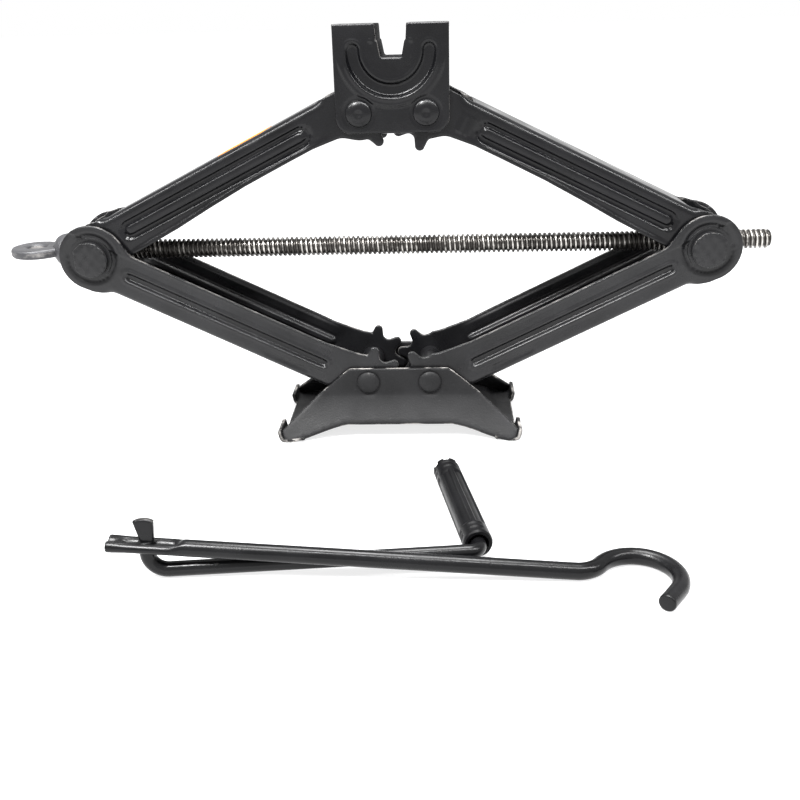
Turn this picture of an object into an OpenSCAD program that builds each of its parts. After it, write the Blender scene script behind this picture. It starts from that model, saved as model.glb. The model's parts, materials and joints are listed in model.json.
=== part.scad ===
// Scissor jack with its folding crank handle laid in front of the base.
// X runs along the screw, Y is the depth, Z is up; the origin is on the ground under the base's centre.

/* [Linkage] */
// Arm length from pivot to pivot
arm_len = 187; // [170:1:200]
// Distance between the two pivots of the base, and of the saddle
pivot_gap = 39; // [39:0.5:40]
// Half the distance between the trunnions as drawn
half_span = 187.5; // [180:0.5:192]
// Height of the base pivots over the ground
base_pivot_z = 34.5; // [34.5:0.5:38]
// Sheet thickness of the arms
sheet = 2.5; // [2:0.1:2.5]

/* [Widths] */
// Half the outer width of the upper arms
upper_half = 22.5; // [20:0.5:22.5]
// Half the outer width of the lower arms
lower_half = 25.4; // [25.4:0.1:25.5]
// Half the outer width of the saddle
saddle_half = 25.9; // [25.8:0.1:26]
// Half the outer width of the base walls at the pivots
base_half = 28.8; // [28.8:0.1:29.5]

/* [Teeth] */
// Root radius of the sector teeth
root_r = 15.4; // [15:0.1:15.4]
// Tip radius of the sector teeth
tip_r = 22.4; // [21:0.1:22.4]
// Half width of a tooth at its root
tooth_root = 4.2; // [3.6:0.1:4.2]
// Half width of a tooth at its tip
tooth_tip = 2.9; // [2.4:0.1:2.9]

/* [Base] */
// Half length of the base at its feet
base_foot_x = 73; // [70:1:76]
// Half depth of the base at its feet
base_foot_y = 46; // [44:1:50]
// Half length of the base walls at their top edge
base_top_x = 32.5; // [30:0.5:36]
// Height of the base walls
base_h = 43.7; // [42:0.1:44]
// Underside height of the sole between the feet
sole_z = 9.3; // [8:0.1:9.3]

/* [Saddle] */
// Half length of the saddle
saddle_x = 33; // [31:0.5:34]
// Height of the saddle's top over its pivots
saddle_top = 48.5; // [44:0.5:50]
// Drop of the saddle's wall below its pivots
saddle_drop = 11.4; // [9:0.1:12]
// Half width of the sill notch at its mouth
notch_top = 9.5; // [8:0.5:10]
// Half width of the sill notch at its floor
notch_floor = 6.5; // [5:0.5:7]
// Depth of the sill notch
notch_depth = 18.5; // [16:0.5:19]

/* [Screw] */
// Crest radius of the lead screw
screw_r = 6; // [6:0.5:6]
// Reach of the screw's tip past the right trunnion
screw_tip = 44; // [40:1:48]
// Outer radius of the crank eye
eye_r = 16; // [14:0.5:16.5]
// Radius of the hole in the crank eye
eye_hole_r = 6; // [5:0.5:6.5]
// Thickness of the crank eye
eye_t = 6; // [4:0.5:7]

/* [Handle] */
// Diameter of the hook rod
hook_d = 8.4; // [8:0.1:8.6]
// Diameter of the crank rod
crank_d = 7.6; // [7:0.1:7.8]
// Diameter of the grip sleeve
grip_d = 15; // [14:0.5:16]
// Length of the grip sleeve
grip_len = 88; // [80:1:90]

/* [Hidden] */
$fn = 64;
pivot_x = pivot_gap / 2;
rest_angle = acos((half_span - pivot_x) / arm_len);
rise = arm_len * sin(rest_angle);
trunnion_z = base_pivot_z + rise;
saddle_pivot_z = trunnion_z + rise;
base_t = 3;
run_gap = 0.06;
pin_r = 5.5;
pin_head_r = 7;
pin_head_h = 2.6;
dome_r = (pin_head_r * pin_head_r + pin_head_h * pin_head_h) / (2 * pin_head_h);
trunnion_r = 11;
barrel_r = 12.5;
shoulder_gap = 0.4;
ring_r = 12.8;
ring_t = 1.6;
trunnion_proud = 3.4;
// Tooth angles at rest, from the inward X axis towards the middle of the diamond
teeth_even = [78, 33, -12];
teeth_odd = [55.5, 10.5, -34.5];
tooth_chamfer = 1.5;
lower_end_r = 20.2;
upper_end_r = 18;
lower_web = 15.7;
lower_edge = 11.5;
upper_web = 16.6;
upper_edge = 9.5;
upper_edge_low = 5.5;
web_start = 22;
web_short = 16;
washer_in = 10;
washer_t = 1.6;
ball_r = 1.6;
race_r = 8.6;
collar_in = washer_in + 2 * washer_t + 2 * ball_r;
collar_len = 10.5;
collar_r = 12;
eye_at = 43.4;
shank_end = 27;
// The handle: the crank rod and its grip lie on the ground, and the hook rod turns on the crank's end
hinge_x = -115;
hinge_y = -202.7;
hook_r = hook_d / 2;
crank_r = crank_d / 2;
hook_top_z = 17.2;
hook_reach = 205;
hook_yaw = -0.8;
hook_tilt = asin((hook_top_z - hook_r) / hook_reach);
hook_turn_in = 14;
hook_turn_out = 19.5;
hook_swing = 55;
hook_tail = 13;
hook_end_angle = -34;
crank_head_z = 28;
crank_run = 154.5;
crank_yaw = 3.4;
crank_turn = 5.5;
grip_lean = 10;
crank_tilt = asin((grip_d / 2 + 0.3 - crank_r) / crank_run);
bend_sweep = 90 + grip_lean - crank_yaw;
grip_wall_gap = 0.6;
channel_len = 32;
channel_w = 13;
channel_back = 19;

// One tooth that points along +X
module tooth() {
    polygon([[root_r - 3, -tooth_root], [root_r, -tooth_root], [tip_r - tooth_chamfer, -tooth_tip],
             [tip_r, -tooth_tip + tooth_chamfer], [tip_r, tooth_tip - tooth_chamfer],
             [tip_r - tooth_chamfer, tooth_tip], [root_r, tooth_root], [root_r - 3, tooth_root]]);
}

// Side wall of an arm, with its geared pivot at the origin and its trunnion end along +X
module arm_wall(teeth, end_r, web_off, edge_off, edge_low) {
    taper_from = 88;
    taper_to = 125;
    difference() {
        union() {
            circle(r = root_r);
            for (angle = teeth)
                rotate(180 - angle - rest_angle) tooth();
            translate([arm_len, 0]) circle(r = end_r);
            polygon([[0, -web_off], [arm_len, -web_off - 2], [arm_len, edge_off + 4],
                     [arm_len - 22, edge_off], [taper_to, edge_off], [taper_from, edge_low],
                     [34, edge_low], [8, edge_low + 2.5]]);
        }
        circle(r = pin_r + run_gap);
        translate([arm_len, 0]) circle(r = trunnion_r + run_gap);
    }
}

// Channel-shaped arm, drawn as the lower right one with its geared pivot at the origin
module arm(teeth, half, end_r, web_off, edge_off, edge_low) {
    rotate([0, -rest_angle, 0]) {
        for (side = [-1, 1])
            translate([0, side > 0 ? half : -half + sheet, 0]) rotate([90, 0, 0])
                linear_extrude(sheet) arm_wall(teeth, end_r, web_off, edge_off, edge_low);
        translate([web_start, -half, -web_off])
            cube([arm_len - web_short - web_start, 2 * half, sheet]);
    }
}

module lower_arm(teeth)
    arm(teeth, lower_half, lower_end_r, lower_web, lower_edge, lower_edge);

module upper_arm(teeth)
    mirror([0, 0, 1]) arm(teeth, upper_half, upper_end_r, upper_web, upper_edge, upper_edge_low);

module lower_arm_left()
    color("dimgray") mirror([1, 0, 0]) translate([pivot_x, 0, base_pivot_z]) lower_arm(teeth_even);

module lower_arm_right()
    color("dimgray") translate([pivot_x, 0, base_pivot_z]) lower_arm(teeth_odd);

module upper_arm_left()
    color("dimgray") mirror([1, 0, 0]) translate([pivot_x, 0, saddle_pivot_z]) upper_arm(teeth_odd);

module upper_arm_right()
    color("dimgray") translate([pivot_x, 0, saddle_pivot_z]) upper_arm(teeth_even);

// Outline of a base wall seen from the front, arched between its two feet
module base_front() {
    polygon([[-base_foot_x, 0], [-base_foot_x + 9, 0], [-40, sole_z - 1], [-34, sole_z],
             [34, sole_z], [40, sole_z - 1], [base_foot_x - 9, 0], [base_foot_x, 0],
             [base_foot_x + 2, 4], [base_top_x + 2, base_h - 2], [base_top_x - 1, base_h],
             [-base_top_x + 1, base_h], [-base_top_x - 2, base_h - 2], [-base_foot_x - 2, 4]]);
}

// Section of one flared base wall: upright at the pivots, leaning out to the foot
module base_section() {
    polygon([[base_half, base_h], [base_half - base_t, base_h], [base_half - base_t, 24],
             [base_foot_y - base_t - 0.6, 0], [base_foot_y, 0], [base_half, 25]]);
}

// Sole, an arched strip that the two walls rise from
module sole_strip() {
    polygon([[-base_foot_x - 2, 0], [-base_foot_x + 9, 0], [-40, sole_z - 1], [-34, sole_z],
             [34, sole_z], [40, sole_z - 1], [base_foot_x - 9, 0], [base_foot_x + 2, 0],
             [base_foot_x + 2, sheet], [base_foot_x - 9.6, sheet], [40, sole_z + sheet - 1],
             [34, sole_z + sheet], [-34, sole_z + sheet], [-40, sole_z + sheet - 1],
             [-base_foot_x + 9.6, sheet], [-base_foot_x - 2, sheet]]);
}

// Room between the outer faces of the two walls
module base_room() {
    polygon([[-base_foot_y, 0], [base_foot_y, 0], [base_half, 25], [base_half, base_h],
             [-base_half, base_h], [-base_half, 25]]);
}

module along_y(depth) translate([0, depth, 0]) rotate([90, 0, 0]) linear_extrude(2 * depth) children();
module along_x(length)
    translate([-length, 0, 0]) rotate([90, 0, 90]) linear_extrude(2 * length) children();

module base_plate() {
    lip_h = 9;
    lip_y = 22;
    color("dimgray") difference() {
        union() {
            for (side = [0, 1])
                mirror([0, side, 0]) intersection() {
                    along_y(base_foot_y) base_front();
                    along_x(base_foot_x + 2) base_section();
                }
            intersection() {
                along_y(base_foot_y) sole_strip();
                along_x(base_foot_x + 2) base_room();
            }
            for (x = [-base_foot_x - 4.5, base_foot_x + 2], y = [-base_foot_y, base_foot_y - lip_y])
                translate([x, y, 0]) cube([sheet, lip_y, lip_h]);
        }
        for (side = [-1, 1])
            translate([side * pivot_x, 0, base_pivot_z]) rotate([90, 0, 0])
                cylinder(r = pin_r, h = 4 * base_half, center = true);
    }
}

// Rivet through a pair of walls, with a domed head on each end
module rivet(half) {
    rotate([90, 0, 0]) cylinder(r = pin_r, h = 2 * half, center = true);
    for (side = [0, 1])
        mirror([0, side, 0]) translate([0, -half, 0]) rotate([90, 0, 0])
            rotate_extrude() intersection() {
                translate([0, pin_head_h - dome_r]) circle(r = dome_r);
                square([pin_head_r, pin_head_h]);
            }
}

module base_pin_left() color("gray") translate([-pivot_x, 0, base_pivot_z]) rivet(base_half);
module base_pin_right() color("gray") translate([pivot_x, 0, base_pivot_z]) rivet(base_half);
module saddle_pin_left() color("gray") translate([-pivot_x, 0, saddle_pivot_z]) rivet(saddle_half);
module saddle_pin_right() color("gray") translate([pivot_x, 0, saddle_pivot_z]) rivet(saddle_half);

// Tube that keeps the two walls of an arm apart on its rivet
module spacer(half) {
    rotate([90, 0, 0]) difference() {
        cylinder(r = 7.5, h = 2 * half, center = true);
        cylinder(r = pin_r, h = 2 * half + 1, center = true);
    }
}

module base_spacer_left()
    color("gray") translate([-pivot_x, 0, base_pivot_z]) spacer(lower_half - sheet - shoulder_gap);
module base_spacer_right()
    color("gray") translate([pivot_x, 0, base_pivot_z]) spacer(lower_half - sheet - shoulder_gap);
module saddle_spacer_left()
    color("gray") translate([-pivot_x, 0, saddle_pivot_z]) spacer(upper_half - sheet - shoulder_gap);
module saddle_spacer_right()
    color("gray") translate([pivot_x, 0, saddle_pivot_z]) spacer(upper_half - sheet - shoulder_gap);

// Upper edge of the saddle from its left corner to its right, shifted in by a sheet for the inside
module saddle_profile(inset) {
    floor_z = saddle_top - notch_depth;
    polygon([[-saddle_x, -saddle_drop + 6], [-saddle_x + 6, -saddle_drop], [saddle_x - 6, -saddle_drop],
             [saddle_x, -saddle_drop + 6], [saddle_x, saddle_top - inset],
             [notch_top + inset, saddle_top - inset], [notch_floor + inset + 1, floor_z + 2],
             [notch_floor - 1 + inset / 2, floor_z - inset], [-notch_floor + 1 - inset / 2, floor_z - inset],
             [-notch_floor - inset - 1, floor_z + 2], [-notch_top - inset, saddle_top - inset],
             [-saddle_x, saddle_top - inset]]);
}

module saddle() {
    saddle_t = 3;
    color("dimgray") translate([0, 0, saddle_pivot_z]) difference() {
        along_y(saddle_half) saddle_profile(0);
        along_y(saddle_half - saddle_t) saddle_profile(saddle_t);
        along_y(saddle_half - saddle_t) translate([-2 * saddle_x, -2 * saddle_drop])
            square([4 * saddle_x, 2 * saddle_drop + 8]);
        for (side = [-1, 1])
            translate([side * pivot_x, 0, 0]) rotate([90, 0, 0])
                cylinder(r = pin_r, h = 4 * saddle_half, center = true);
    }
}

// Swivel block with stepped ends that turn in both arms, drilled across for the screw
module trunnion(bore_r) {
    flat_x = 9.9;
    flat_w = 23;
    difference() {
        union() {
            rotate([90, 0, 0])
                cylinder(r = barrel_r, h = 2 * (upper_half - sheet - shoulder_gap), center = true);
            rotate([90, 0, 0])
                cylinder(r = trunnion_r, h = 2 * (lower_half + ring_t + trunnion_proud), center = true);
        }
        rotate([0, 90, 0]) cylinder(r = bore_r, h = 4 * barrel_r, center = true);
        for (side = [-1, 1])
            translate([side * (flat_x + barrel_r / 2), 0, 0])
                cube([barrel_r, flat_w, flat_w], center = true);
    }
}

module trunnion_left()
    color("silver") translate([-half_span, 0, trunnion_z]) trunnion(screw_r + run_gap);
module trunnion_right()
    color("silver") translate([half_span, 0, trunnion_z]) trunnion(screw_r + run_gap);

// Peened rings on both ends of a trunnion
module trunnion_rings() {
    for (side = [0, 1])
        mirror([0, side, 0]) translate([0, lower_half + ring_t, 0]) rotate([90, 0, 0]) difference() {
            cylinder(r = ring_r, h = ring_t - 0.1);
            translate([0, 0, -1]) cylinder(r = trunnion_r, h = ring_t + 2);
        }
}

module trunnion_rings_left() color("gray") translate([-half_span, 0, trunnion_z]) trunnion_rings();
module trunnion_rings_right() color("gray") translate([half_span, 0, trunnion_z]) trunnion_rings();

// Places its children on the screw's axis at the left trunnion, with +Z pointing outwards
module screw_end() translate([-half_span, 0, trunnion_z]) rotate([0, -90, 0]) children();

module lead_screw() {
    color("silver") screw_end() {
        translate([0, 0, -2 * half_span - screw_tip + 2])
            cylinder(r = screw_r, h = 2 * half_span + screw_tip - 2 + shank_end);
        translate([0, 0, -2 * half_span - screw_tip]) cylinder(r1 = screw_r - 2, r2 = screw_r, h = 2);
    }
}

module crank_eye() {
    color("gray") screw_end() difference() {
        union() {
            translate([-eye_t / 2, 0, eye_at]) rotate([0, 90, 0]) cylinder(r = eye_r, h = eye_t);
            translate([-eye_t / 2, -8, shank_end]) cube([eye_t, 16, 10]);
            translate([0, 0, shank_end]) cylinder(r = screw_r, h = 3);
        }
        translate([-eye_t, 0, eye_at]) rotate([0, 90, 0]) cylinder(r = eye_hole_r, h = 2 * eye_t);
    }
}

module thrust_collar() {
    color("gray") screw_end() translate([0, 0, collar_in]) difference() {
        rotate_extrude() polygon([[0, 0], [collar_r, 0], [collar_r, 5], [collar_r - 1, 8],
                                  [collar_r - 3.2, collar_len - 0.3], [0, collar_len]]);
        translate([0, 0, -1]) cylinder(r = screw_r, h = collar_len + 2);
    }
}

module thrust_washers() {
    color("silver") screw_end() for (z = [washer_in, washer_in + washer_t + 2 * ball_r])
        translate([0, 0, z]) difference() {
            cylinder(r = 10.6, h = washer_t);
            translate([0, 0, -1]) cylinder(r = screw_r, h = washer_t + 2);
        }
}

module thrust_balls() {
    ball_count = 12;
    color("silver") screw_end() for (i = [0 : ball_count - 1])
        rotate(i * 360 / ball_count) translate([race_r, 0, washer_in + washer_t + ball_r])
            sphere(r = ball_r, $fn = 32);
}

module blank_label() {
    label_len = 32;
    label_w = 30;
    label_at = 56;
    label_t = 0.3;
    color("orange") mirror([1, 0, 0]) translate([pivot_x, 0, saddle_pivot_z]) mirror([0, 0, 1])
        rotate([0, -rest_angle, 0]) translate([label_at, -label_w / 2, -upper_web - label_t])
            cube([label_len, label_w, label_t]);
}

// Round rod bent through an arc, in the plane of its centre line
module rod_bend(radius, rod_r, from, sweep)
    rotate([0, 0, from]) rotate_extrude(angle = sweep) translate([radius, 0]) circle(r = rod_r, $fn = 32);

module hook_rod() {
    trough_w = 4.8;
    trough_floor = 2.4;
    hinge_gap = 0.8;
    core_gap = 0.05;
    lap = 2;
    lead_out = channel_len - channel_back - 2;
    curl_x = (hook_turn_in + hook_turn_out) * sin(hook_swing);
    curl_y = hook_turn_in - (hook_turn_in + hook_turn_out) * cos(hook_swing);
    color("dimgray") translate([hinge_x, hinge_y, 0]) rotate([0, 0, hook_yaw]) {
        translate([0, 0, hook_top_z]) rotate([0, 90 + hook_tilt, 0]) translate([0, 0, lead_out])
            cylinder(r = hook_r, h = hook_reach / cos(hook_tilt) - lead_out);
        translate([0, 0, hook_top_z]) rotate([0, hook_tilt, 0]) difference() {
            translate([-channel_back, -channel_w / 2, -hook_r]) cube([channel_len, channel_w, hook_d]);
            translate([-channel_back - 1, -trough_w / 2, -hook_r + trough_floor])
                cube([channel_len - 5, trough_w, hook_d]);
            cylinder(r = crank_r + hinge_gap, h = 40, center = true);
        }
        translate([hook_reach, hook_turn_in, hook_r])
            rod_bend(hook_turn_in, hook_r - core_gap, -90 - lap, hook_swing + 2 * lap);
        translate([hook_reach + curl_x, curl_y, hook_r]) {
            rod_bend(hook_turn_out, hook_r, hook_end_angle, 90 + hook_swing - hook_end_angle);
            rotate([0, 0, hook_end_angle]) translate([hook_turn_out, 1, 0]) rotate([90, 0, 0])
                cylinder(r = hook_r - core_gap, h = hook_tail + 1);
        }
    }
}

// Places its children at the crank's lower bend, with X along its long run
module crank_frame()
    translate([hinge_x, hinge_y, crank_r]) rotate([0, 0, crank_yaw]) rotate([0, -crank_tilt, 0])
        children();

// Places its children at the start of the grip, with Z along it
module grip_frame()
    crank_frame() translate([crank_run, crank_turn, 0]) rotate([0, 0, bend_sweep])
        translate([0, -crank_turn, 0]) rotate([0, 90, 0]) children();

module crank_rod() {
    head_base = crank_head_z - 7;
    low_turn = 8;
    color("dimgray") {
        crank_frame() {
            translate([0, 0, low_turn]) cylinder(r = crank_r, h = head_base - low_turn - 3);
            translate([low_turn, 0, low_turn]) rotate([90, 0, 0])
                rod_bend(low_turn, crank_r, 180, 90);
            translate([low_turn, 0, 0]) rotate([0, 90, 0])
                cylinder(r = crank_r, h = crank_run - low_turn);
            translate([crank_run, crank_turn, 0]) rod_bend(crank_turn, crank_r, -90, bend_sweep);
            translate([0, 0, head_base - 4]) rotate([90, 0, 0]) linear_extrude(4, center = true)
                polygon([[-crank_r + 0.4, 0], [crank_r - 0.4, 0], [crank_r - 0.2, 3], [crank_r + 0.7, 10],
                         [-0.5, 11.6], [-crank_r - 2, 10], [-crank_r, 3]]);
        }
        grip_frame() cylinder(r = crank_r, h = grip_len - 4);
    }
}

module grip_sleeve() {
    seat_r = 6;
    seat_depth = 7;
    color("black") grip_frame() translate([0, 0, grip_wall_gap]) difference() {
        cylinder(r = grip_d / 2, h = grip_len);
        translate([0, 0, -1]) cylinder(r = crank_r + run_gap, h = grip_len + 2);
        translate([0, 0, grip_len - seat_depth]) cylinder(r = seat_r, h = seat_depth + 1);
    }
}

module grip_washer() {
    washer_r = 5.5;
    color("silver") grip_frame() translate([0, 0, grip_len - 6]) difference() {
        cylinder(r = washer_r, h = 1.2);
        translate([0, 0, -1]) cylinder(r = crank_r, h = 4);
    }
}

base_plate();
base_pin_left();
base_pin_right();
base_spacer_left();
base_spacer_right();
lower_arm_left();
lower_arm_right();
upper_arm_left();
upper_arm_right();
saddle();
saddle_pin_left();
saddle_pin_right();
saddle_spacer_left();
saddle_spacer_right();
trunnion_left();
trunnion_right();
trunnion_rings_left();
trunnion_rings_right();
lead_screw();
crank_eye();
thrust_collar();
thrust_washers();
thrust_balls();
blank_label();
hook_rod();
crank_rod();
grip_sleeve();
grip_washer();
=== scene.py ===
import json
import math

import bmesh
import bpy
import numpy as np
from mathutils import Matrix, Vector
from mathutils.geometry import delaunay_2d_cdt


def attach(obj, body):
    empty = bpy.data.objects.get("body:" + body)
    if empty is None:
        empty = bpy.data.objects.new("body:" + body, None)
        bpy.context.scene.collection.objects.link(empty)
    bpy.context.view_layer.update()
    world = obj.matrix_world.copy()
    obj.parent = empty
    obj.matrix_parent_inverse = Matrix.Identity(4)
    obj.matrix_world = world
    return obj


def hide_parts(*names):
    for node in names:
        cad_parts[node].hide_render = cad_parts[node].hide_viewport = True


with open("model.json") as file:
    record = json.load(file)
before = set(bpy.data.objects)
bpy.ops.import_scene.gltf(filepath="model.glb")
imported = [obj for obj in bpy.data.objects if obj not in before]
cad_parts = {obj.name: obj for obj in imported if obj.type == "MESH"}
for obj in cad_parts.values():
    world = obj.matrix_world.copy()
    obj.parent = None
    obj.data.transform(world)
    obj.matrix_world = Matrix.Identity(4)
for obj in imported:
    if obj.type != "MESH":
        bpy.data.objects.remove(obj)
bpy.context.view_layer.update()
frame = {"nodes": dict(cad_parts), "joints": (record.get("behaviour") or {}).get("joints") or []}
MM = 0.001


def joint(name):
    return next(item for item in frame["joints"] if item["name"] == name)


# ------------------------------------------------------------------ sizes, in millimetres
BASE_PIVOT = [value / MM for value in joint("lift")["pos_m"]]
TRUNNION = [value / MM for value in joint("left_trunnion_turn")["pos_m"]]
SADDLE_PIVOT = [value / MM for value in joint("saddle_swing")["pos_m"]]
PIVOT_X = -BASE_PIVOT[0]
HALF_SPAN = -TRUNNION[0]
BASE_Z = BASE_PIVOT[2]
TRUNNION_Z = TRUNNION[2]
SADDLE_Z = SADDLE_PIVOT[2]
REST_ANGLE = math.atan2(TRUNNION_Z - BASE_Z, HALF_SPAN - PIVOT_X)
ARM_LEN = math.hypot(TRUNNION_Z - BASE_Z, HALF_SPAN - PIVOT_X)
SHEET = 2.5
LOWER_HALF = 25.4
UPPER_HALF = 22.5
SADDLE_HALF = 25.9
BASE_HALF = 28.8
PIN_R = 5.5
TRUNNION_R = 11.0
TRUNNION_OUT = 4.9
TRUNNION_FLAT = 1.9
ROOT_R = 15.4
TIP_R = 22.4
TOOTH_TIP_R = 2.9
TEETH_EVEN = (78.0, 33.0, -12.0)
TEETH_ODD = (55.5, 10.5, -34.5)
LOWER_END_R = 20.2
LOWER_WEB = 15.7
LOWER_EDGE = 11.5
UPPER_END_R = 18.0
UPPER_WEB = 16.6
UPPER_EDGE = 9.5
UPPER_EDGE_LOW = 5.5
SCREW_R = 6.0
SCREW_TIP = 44.0
SCREW_TIP_R = 2.4
SCREW_BACK = 27.0
SHANK_R = 5.7
THREAD_PITCH = 3.0
THREAD_DEPTH = 1.4
THREAD_FROM = 17.0
EYE_AT = 43.4
EYE_R = 16.0
EYE_HOLE_R = 6.0
EYE_T = 6.0
COLLAR_FROM = 16.5
COLLAR_R = 10.8
COLLAR_RIM = 5.5
COLLAR_DOME = 8.4


# ------------------------------------------------------------------ distance fields, negative inside
def disc(u, v, cx, cy, radius):
    return np.hypot(u - cx, v - cy) - radius


def slab(u, v, x0, x1, y0, y1, radius=0.0):
    du = np.abs(u - (x0 + x1) / 2) - (x1 - x0) / 2 + radius
    dv = np.abs(v - (y0 + y1) / 2) - (y1 - y0) / 2 + radius
    outside = np.hypot(np.maximum(du, 0), np.maximum(dv, 0))
    return outside + np.minimum(np.maximum(du, dv), 0) - radius


def capsule(u, v, x0, y0, x1, y1, radius):
    dx, dy = x1 - x0, y1 - y0
    along = np.clip(((u - x0) * dx + (v - y0) * dy) / (dx * dx + dy * dy), 0, 1)
    return np.hypot(u - x0 - along * dx, v - y0 - along * dy) - radius


def polygon_field(u, v, points):
    points = np.asarray(points, float)
    best = np.full(u.shape, 1e9)
    inside = np.zeros(u.shape, bool)
    for (x0, y0), (x1, y1) in zip(points, np.roll(points, -1, axis=0)):
        best = np.minimum(best, capsule(u, v, x0, y0, x1, y1, 0.0))
        crosses = (y0 > v) != (y1 > v)
        if y1 != y0:
            inside ^= crosses & (u < (x1 - x0) * (v - y0) / (y1 - y0) + x0)
    return np.where(inside, -best, best)


def blend_union(a, b, radius):
    h = np.clip(0.5 + 0.5 * (b - a) / radius, 0, 1)
    return b * (1 - h) + a * h - radius * h * (1 - h)


def smooth(edge0, edge1, x):
    t = np.clip((x - edge0) / (edge1 - edge0), 0, 1)
    return t * t * (3 - 2 * t)


# ------------------------------------------------------------------ contours of a field
def contours(field, box, step):
    x0, x1, y0, y1 = box
    us = np.arange(x0, x1 + step, step)
    vs = np.arange(y0, y1 + step, step)
    grid = field(*np.meshgrid(us, vs, indexing="ij"))
    sign = grid < 0
    links = {}
    points = {}

    def crossing(i, j, k, m):
        key = (i, j, k, m)
        if key not in points:
            t = grid[i, j] / (grid[i, j] - grid[k, m])
            points[key] = (us[i] + t * (us[k] - us[i]), vs[j] + t * (vs[m] - vs[j]))
        return key

    mixed = sign[:-1, :-1].astype(int) + sign[1:, :-1] + sign[:-1, 1:] + sign[1:, 1:]
    for i, j in zip(*np.nonzero((mixed > 0) & (mixed < 4))):
        corners = [(i, j), (i + 1, j), (i + 1, j + 1), (i, j + 1)]
        sides = [((i, j), (i + 1, j)), ((i + 1, j), (i + 1, j + 1)),
                 ((i, j + 1), (i + 1, j + 1)), ((i, j), (i, j + 1))]
        cut = [crossing(*a, *b) for a, b in sides if sign[a] != sign[b]]
        if len(cut) == 4 and sign[corners[0]]:
            cut = [cut[0], cut[3], cut[1], cut[2]]
        for a, b in zip(cut[::2], cut[1::2]):
            links.setdefault(a, []).append(b)
            links.setdefault(b, []).append(a)
    loops = []
    unused = set(links)
    for start in sorted(links):
        if start not in unused:
            continue
        loop = [start]
        unused.discard(start)
        while True:
            nexts = [key for key in links[loop[-1]] if key in unused]
            if not nexts:
                break
            loop.append(nexts[0])
            unused.discard(nexts[0])
        if len(loop) > 8:
            loops.append(np.array([points[key] for key in loop]))
    return loops


def resample(loop, spacing):
    closed = np.vstack([loop, loop[:1]])
    lengths = np.hypot(*np.diff(closed, axis=0).T)
    total = lengths.sum()
    marks = np.concatenate([[0], np.cumsum(lengths)])
    count = max(12, int(round(total / spacing)))
    at = np.arange(count) * total / count
    return np.column_stack([np.interp(at, marks, closed[:, 0]), np.interp(at, marks, closed[:, 1])])


def inside_loops(pts, outline, edges):
    inside = np.zeros(len(pts), bool)
    x, y = pts[:, 0], pts[:, 1]
    for a, b in edges:
        (x0, y0), (x1, y1) = outline[a], outline[b]
        if y0 != y1:
            crosses = (y0 > y) != (y1 > y)
            inside ^= crosses & (x < (x1 - x0) * (y - y0) / (y1 - y0) + x0)
    return inside


def gradient(field, pts, eps=0.05):
    u, v = pts[:, 0], pts[:, 1]
    g = np.column_stack([field(u + eps, v) - field(u - eps, v), field(u, v + eps) - field(u, v - eps)])
    return g / np.maximum(np.hypot(*g.T), 1e-9)[:, None]


# ------------------------------------------------------------------ meshes
def new_mesh(name, verts, faces, wear=None, smooth_angle=40):
    mesh = bpy.data.meshes.new(name)
    mesh.from_pydata([tuple(p) for p in np.asarray(verts) * MM], [], [tuple(f) for f in faces])
    mesh.validate()
    mesh.update()
    attribute = mesh.attributes.new("wear", "FLOAT", "POINT")
    if wear is not None and len(wear) == len(mesh.vertices):
        attribute.data.foreach_set("value", np.asarray(wear, dtype=np.float32))
    mesh.shade_smooth()
    mesh.set_sharp_from_angle(angle=math.radians(smooth_angle))
    piece = bpy.data.objects.new(name, mesh)
    bpy.context.scene.collection.objects.link(piece)
    return piece


class Parts:
    """Collects vertices, faces and edge wear of one piece."""

    def __init__(self):
        self.verts, self.faces, self.wear, self.count = [], [], [], 0

    def add(self, verts, faces, wear=None):
        verts = np.asarray(verts, float)
        self.verts.append(verts)
        self.faces += [tuple(i + self.count for i in face) for face in faces]
        self.wear.append(np.zeros(len(verts)) if wear is None else np.asarray(wear, float))
        self.count += len(verts)

    def build(self, name, smooth_angle=40):
        return new_mesh(name, np.vstack(self.verts), self.faces, np.concatenate(self.wear), smooth_angle)


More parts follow.
